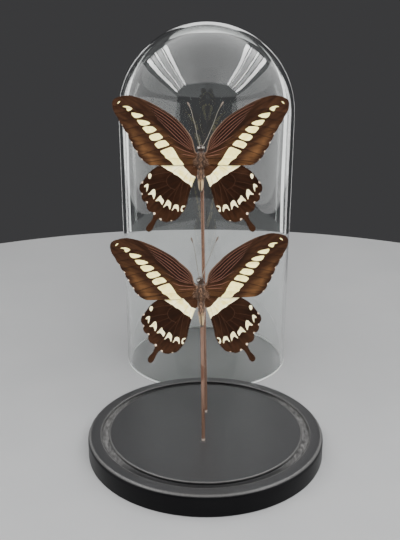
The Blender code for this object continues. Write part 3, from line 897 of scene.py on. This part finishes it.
class Wing:
    """One specimen's wing, gathered from its sheet, its veins and its fringe."""

    def __init__(self, drawing, side, height, insect):
        self.drawing, self.side, self.height, self.insect = drawing, side, height, insect
        self.rng = np.random.default_rng(insect["seed"] * 10 + side + 5 * (drawing.kind == "forewing"))
        self.shift = self.rng.uniform(0, 50, 3)
        self.built = Build()
        self.add_sheet()
        self.add_veins()
        self.add_fringe()

    def lay(self, points, lift):
        """From the drawing to the insect's flat frame, raised by `lift` over the wing's camber."""
        u, v = fitted(points, self.drawing.root, self.insect[self.drawing.kind], self.side)
        camber = 1.5 * np.sin(0.032 * u) - 0.0006 * (v - 10.0) ** 2
        return columns(self.side * u, v, self.height + camber + lift)

    def relief(self, measured, points):
        """How far the skin rises and sinks between its veins, and waves gently."""
        sunk = -0.16 * ramp(measured["vein"], 0.1, 2.4) + 0.07 * ramp(measured["margin"], 1.5, 0)
        u_wave, v_wave = np.sin(points * (0.37, 0.31) + self.shift[:2]).T
        return sunk + 0.1 * u_wave * v_wave

    def join(self, shape, measured, times, mirrored=True, **more):
        """Adds a shape with `times` vertices for each measured point, on its own part of each noise."""
        moved = dict(measured, flat=measured["flat"] + self.shift, fan=measured["fan"] + self.shift)
        values = {key: np.repeat(value, times, axis=0) for key, value in moved.items() if key != "margin"}
        vertices, faces = shape
        if mirrored and self.side < 0:
            faces = [tuple(reversed(face)) for face in faces]
        self.built.add(upright(vertices, self.insect), faces, **values, **more)

    def add_sheet(self):
        """Both faces of the wing, by turns a vertex of each, and the strip around them."""
        drawing = self.drawing
        lift = self.relief(drawing.measured, drawing.points)
        skins = [self.lay(drawing.points, lift + half) for half in (WING_HALF, -WING_HALF)]
        faces = [tuple(2 * corner for corner in face) for face in drawing.triangles]
        faces += [tuple(2 * corner + 1 for corner in reversed(face)) for face in drawing.triangles]
        rim = 2 * len(drawing.outline)
        faces += [((edge + 2) % rim, edge, edge + 1, (edge + 2) % rim + 1) for edge in range(0, rim, 2)]
        self.join((np.stack(skins, axis=1).reshape(-1, 3), faces), drawing.measured, 2,
                  under=np.tile((0.0, 1.0), len(lift)))

    def add_veins(self):
        """Raised veins, thick at the root and thin at the margin, and thinner rays."""
        for path, measured in self.drawing.lines:
            radii = 0.2 - 0.1 * np.clip(np.hypot(*(path - self.drawing.root).T) / 40.0, 0, 1)
            if measured["ray"][0]:
                radii = RAY_R * np.sin(np.linspace(0.15, math.pi - 0.1, len(path))) ** 0.5
            lift = self.relief(measured, path) + 0.05 * measured["ray"]
            self.join(tube(self.lay(path, lift), radii, VEIN_SIDES), measured, VEIN_SIDES)

    def add_fringe(self):
        """Short scales that stand out along the outer margin."""
        line = self.drawing.edge
        count = len(line)
        along = unit(np.gradient(line, axis=0))
        out = columns(along[:, 1], -along[:, 0])
        out = np.where(inside(line + out * 0.3, self.drawing.outline)[:, None], -out, out)
        lean = along * self.rng.uniform(-0.3, 0.3, (count, 1))
        tips = line + (out + lean) * (EDGE_BLADE_LENGTH * self.rng.uniform(0.6, 1.15, (count, 1)))
        half, foot = along * 0.075, line - out * 0.1
        corners = np.stack([foot - half, foot + half, tips], axis=1).reshape(-1, 2)
        lift = 0.05 + np.repeat(self.rng.uniform(-0.05, 0.05, count), 3)
        faces = [(first, first + 1, first + 2) for first in range(0, 3 * count, 3)]
        self.join((self.lay(corners, lift), faces), self.drawing.edge_values, 3, mirrored=False)


def body_profile(end):
    """Finely spaced (v, half width, half depth) rows of the front and of the ringed abdomen."""
    front = smooth(HEAD_AND_THORAX, 0.3)
    back = smooth([(ABDOMEN_START + share * (end - ABDOMEN_START), width, depth)
                   for share, width, depth in ABDOMEN], 0.2)
    share = (back[:, 0] - ABDOMEN_START) / (end - ABDOMEN_START)
    joint = np.abs(np.sin(math.pi * ABDOMEN_SEGMENTS * share)) ** 0.35
    back[:, 1:] *= (0.9 + 0.1 * joint)[:, None]
    return front, back


def skin(rows):
    """Vertices and faces of an oval body along rows of (v, half width, half depth share)."""
    angles = around(BODY_SIDES)
    return capped([columns(half_width * np.cos(angles), v, BODY_W + BODY_BACK * depth * np.sin(angles))
                   for v, half_width, depth in rows])


def abdomen_stripe(vertices, end):
    """How far vertices lie within the pale stripe on each side of the abdomen's back."""
    share = (vertices[:, 1] - ABDOMEN_START) / (end - ABDOMEN_START)
    seam = np.abs(vertices[:, 0] + 0.3) - 0.22
    above = (vertices[:, 2] - BODY_W - 0.1) * 1.2
    return np.min([seam, above, (share - 0.4) * 2.0, (0.93 - share) * 8], axis=0) - 0.1


def coat(rows, count, low, high, length, comb, pale, seed, rng):
    """Hairs spread over the body between two values of v, and each vertex's tone."""
    v = rng.uniform(low, high, count)
    angle = rng.uniform(0, 2 * math.pi, count)
    order = np.argsort(rows[:, 0])
    half_width = np.interp(v, rows[order, 0], rows[order, 1])
    depth = np.interp(v, rows[order, 0], rows[order, 2]) * BODY_BACK
    roots = columns(half_width * np.cos(angle) * 0.97, v, BODY_W + depth * np.sin(angle) * 0.97)
    normals = unit(columns(np.cos(angle) / half_width, 0, np.sin(angle) / depth))
    directions = unit(normals * 0.5 + (0, comb, 0) + rng.normal(0, 0.25, (count, 3)))
    lengths = length * rng.uniform(0.6, 1.25, count)
    shape = blades(roots, directions, lengths, 0.11, unit(normals + rng.normal(0, 0.4, (count, 3))))
    wander = 1.4 * np.sin(1.5 * v + seed) + 0.5 * np.sin(4.1 * v)
    patch = np.sin(3.4 * np.abs(roots[:, 0]) + 0.8 + wander)
    tone = pale * (0.22 + ramp(patch, 0.25, 0.95) * 1.5) + rng.normal(0, 0.14, count)
    tone[(roots[:, 2] < BODY_W) & (rng.random(count) < 0.5)] *= 0.5
    return shape, np.repeat(np.clip(tone, 0.0, 0.95), 5)


def tuft(mirror, at, spread, direction, scatter, lengths, width, count, rng):
    """A bunch of hairs whose roots lie about a place."""
    roots = np.multiply(at, mirror) + rng.normal(0, 1, (count, 3)) * spread
    directions = unit(np.multiply(direction, mirror) + rng.normal(0, scatter, (count, 3)))
    return blades(roots, directions, rng.uniform(*lengths, count), width,
                  unit(rng.normal(0, 1, (count, 3))))


def tapered(points, spacing, first, last, sides):
    """A smooth tube that thins from its first radius to its last."""
    path = smooth(points, spacing)
    return tube(path, np.linspace(first, last, len(path)), sides)


def build_body(insect, looks):
    """Hairy head and thorax, ringed abdomen, eyes, palps, coiled tongue and folded legs."""
    rng = np.random.default_rng(insect["seed"])
    end = insect["abdomen_end"]
    front, back = body_profile(end)
    built = Build()

    def put(shape, slot, **values):
        vertices, faces = shape
        built.add(upright(vertices, insect), faces, slot, **values)

    put(skin(front), SHELL, stripe=-1.0)
    abdomen = skin(back)
    put(abdomen, SHELL, stripe=abdomen_stripe(abdomen[0], end))
    for patch in (*COATS, (1100, end * 0.62, -2.6, 1.1, -1.5, 0.7)):
        shape, tone = coat(np.vstack([front, back]), *patch, insect["seed"], rng)
        put(shape, HAIR, tone=tone)
    for side, _ in SIDES:
        mirror = (side, 1, 1)
        put(ball(np.multiply(EYE_AT, mirror), EYE_RADII), EYE)
        put(tuft(mirror, *HEAD_TUFT, rng), HAIR, tone=insect["tuft_tones"][side])
        shape = tuft(mirror, *SIDE_TUFT, rng)
        tones = np.clip(rng.normal(0.2, 0.24, SIDE_TUFT[-1]), 0.0, 0.9)
        put(shape, HAIR, tone=np.repeat(tones, 5))
        put(tapered(np.multiply(PALP, mirror), 0.15, 0.42, 0.16, 10), SHELL, stripe=-1.0)
        for hip, knee, foot in LEGS:
            leg = columns(side * LEG_OUT, (hip, (hip + knee) / 2, knee, (knee + foot) / 2, foot), LEG_W)
            put(tapered(leg, 0.35, 0.24, 0.09, 8), SHELL, stripe=-1.0)
    turns = np.linspace(0, TONGUE_TURNS * 2 * math.pi, 90)
    coil_r = 1.0 - 0.72 * turns / turns[-1]
    coil = columns(0, TONGUE_AT[0] + coil_r * np.cos(turns), TONGUE_AT[1] + coil_r * np.sin(turns))
    put(tube(coil, 0.11, 8), SHELL, stripe=-1.0)

    body = built.make(f"{insect['name']}_insect_body", looks, sharp=60)
    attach(body, "root")
    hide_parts(f"{insect['name']}_body")


def build_antenna(insect, side, word, look):
    """A ringed feeler that thickens into a club."""
    reach = smooth([(side * u, v, 0.1 + 0.05 * v) for u, v in insect["antennae"][side]], 0.14)
    length = np.concatenate([[0.0], np.cumsum(np.linalg.norm(np.diff(reach, axis=0), axis=1))])
    share = length / length[-1]
    radii = 0.2 - 0.05 * share + 0.4 * ramp(share, 0.84, 0.95) * (1 - 0.75 * ramp(share, 0.965, 1.0))
    radii = radii * (1 + 0.07 * np.sin(length * 2 * math.pi / FEELER_RING))
    vertices, faces = tube(reach, radii, 10)
    shape = (upright(vertices, insect), faces)
    antenna = one_piece(f"{insect['name']}_feeler_{word}", shape, [look], 70,
                        along=np.repeat(length, 10), club=np.repeat(ramp(share, 0.8, 0.9), 10))
    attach(antenna, "root")
    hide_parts(f"{insect['name']}_antenna_{word}")


def build_butterflies():
    """Both specimens. They share the drawn wings, which are fitted to each."""
    lowest, highest = np.array(LOWEST_RAY), np.array(HIGHEST_RAY)
    rays = [lowest + (highest - lowest) * share for share in np.linspace(0, 1, RAY_COUNT)] + ROOT_RAYS
    forewing = WingDrawing("forewing", FOREWING_ROOT, FOREWING_EDGE, FOREWING_VEINS, FOREWING_SPOTS,
                           FOREWING_FRINGE, rays)
    hindwing = WingDrawing("hindwing", HINDWING_ROOT, HINDWING_EDGE, HINDWING_VEINS, HINDWING_SPOTS,
                           HINDWING_FRINGE, [])
    wings = ((hindwing, HINDWING_W, wing_scales("hindwing_scales", HINDWING_COLOURS, 0.34)),
             (forewing, FOREWING_W, wing_scales("forewing_scales", FOREWING_COLOURS, 0.46)))
    body_looks = [body_hair(), body_shell(), eye_shell()]
    feeler = antenna_shell()
    for insect in (LOWER, UPPER):
        build_body(insect, body_looks)
        for side, word in SIDES:
            for drawing, height, look in wings:
                kind = drawing.kind
                built = Wing(drawing, side, height, insect).built
                wing = built.make(f"{insect['name']}_{kind}_{word}_scaled", [look], sharp=60)
                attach(wing, "root")
                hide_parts(f"{insect['name']}_{kind}_{word}")
            build_antenna(insect, side, word, feeler)


# ---------------------------------------------------------------- stage

def add_camera():
    data = bpy.data.cameras.new("view")
    data.lens = CAMERA_LENS
    data.sensor_width = CAMERA_SENSOR
    bpy.context.scene.camera = shown(data, CAMERA_AT, (math.pi / 2 - CAMERA_DOWN, 0.0, 0.0))


def add_softbox(name, at, aim, size, radiance, reflected=True):
    """A soft panel, seen at most in reflections. Size is across and along."""
    data = bpy.data.lights.new(name, "AREA")
    data.shape = "RECTANGLE"
    data.size, data.size_y = size
    data.energy = radiance * math.pi * size[0] * size[1]
    light = shown(data, at, (Vector(aim) - Vector(at)).to_track_quat("-Z", "Y").to_euler())
    light.visible_camera = False
    light.visible_glossy = reflected
    light.visible_transmission = reflected


def add_world():
    world = bpy.data.worlds.new("studio")
    bpy.context.scene.world = world
    world.use_nodes = True
    room = world.node_tree.nodes["Background"].inputs
    room["Color"].default_value = ROOM_COLOUR
    room["Strength"].default_value = 1.0


def add_floor():
    rim = [(*point, 0) for point in arc((0, 0), FLOOR_R / MM, 2, 360, 179)]
    floor = one_piece("table_top", (np.array(rim), [tuple(range(180))]), [floor_look()])
    floor.location = (0.0, 0.07, -0.0002)


def add_strips(side, word, dome_y):
    """Thin panels overhead and behind on one side, which draw bright lines on the glass."""
    for strip, (rise, width, radiance) in enumerate(CEILING_STRIPS):
        turn = math.radians(rise)
        at = (side * STRIP_REACH * math.cos(turn), dome_y - 0.15, 0.2 + STRIP_REACH * math.sin(turn))
        add_softbox(f"ceiling_strip_{word}_{strip}", at, (0, dome_y - 0.15, 0.2), (1.3, width), radiance)
    for strip, (bearing, width, radiance) in enumerate(TALL_STRIPS):
        turn = math.radians(bearing)
        at = (side * STRIP_REACH * math.sin(turn), dome_y + STRIP_REACH * math.cos(turn), 0.15)
        add_softbox(f"tall_strip_{word}_{strip}", at, (0, dome_y, 0.15), (width, 0.6), radiance)


def build_stage():
    add_camera()
    add_world()
    add_floor()
    dome_low, dome_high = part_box("glass_dome")
    dome_y = (dome_low.y + dome_high.y) / 2
    for side, word in SIDES:
        add_softbox(f"side_panel_{word}", (side, 0.1, 0.4), (0.0, 0.1, 0.4), (2.4, 1.0),
                    SIDE_RADIANCE[word])
        add_strips(side, word, dome_y)
    add_softbox("ceiling_panel", (0.0, dome_y - 0.1, 1.15), (0.0, dome_y - 0.1, 0.2), (1.25, 1.8),
                CEILING_RADIANCE)
    add_softbox("front_panel", (0.1, -1.0, 0.95), (0.0, 0.0, 0.12), (1.3, 0.8), FRONT_RADIANCE,
                reflected=False)
    add_softbox("back_panel", (0.05, 1.2, 0.6), (0.0, 0.1, 0.1), (0.42, 0.42), BACK_RADIANCE)


build_stage()
build_base()
build_dome([dome_glass(), ground_glass()])
wire = copper(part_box("base")[1].z / MM)
for specimen in (LOWER, UPPER):
    build_rod(specimen, wire)
build_butterflies()
